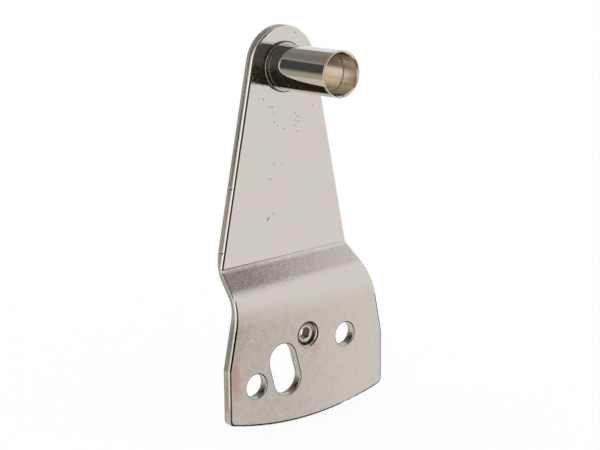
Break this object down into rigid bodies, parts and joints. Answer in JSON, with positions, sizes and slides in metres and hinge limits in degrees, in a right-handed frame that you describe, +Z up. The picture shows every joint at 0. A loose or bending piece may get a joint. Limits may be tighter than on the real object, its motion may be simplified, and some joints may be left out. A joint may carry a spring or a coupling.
{
  "type": "fridge door hinge",
  "caption": "Pressed and joggled steel hinge plate with a hollow swaged pin on its tapered arm, a wide foot with a tilted row of holes and a slot, and a hollow adjusting screw.",
  "frame": {"origin": "on the pin's axis, where the door's bush seats on the pin's collar", "axes": "-Y along the pin, away from the plate; +Z up the plate, from its foot to its pin; +X to the right, seen from the pin's side"},
  "size_m": [0.053, 0.026, 0.1048],
  "materials": {
    "plated_sheet": "bright nickel plate, mirror-like on the arm and satin on the ramp and foot",
    "polished_pin": "polished bright plate",
    "screw_steel": "plain plated steel"
  },
  "bodies": {
    "hinge": {"hinge_plate": "plated_sheet", "hollow_pin": "polished_pin"},
    "screw": {"adjusting_screw": "screw_steel"}
  },
  "joints": [
    {"name": "screw_travel", "type": "slide", "parent": "hinge", "child": "screw", "axis": [0, -1, 0], "range_m": [-0.001, 0.002]}
  ]
}
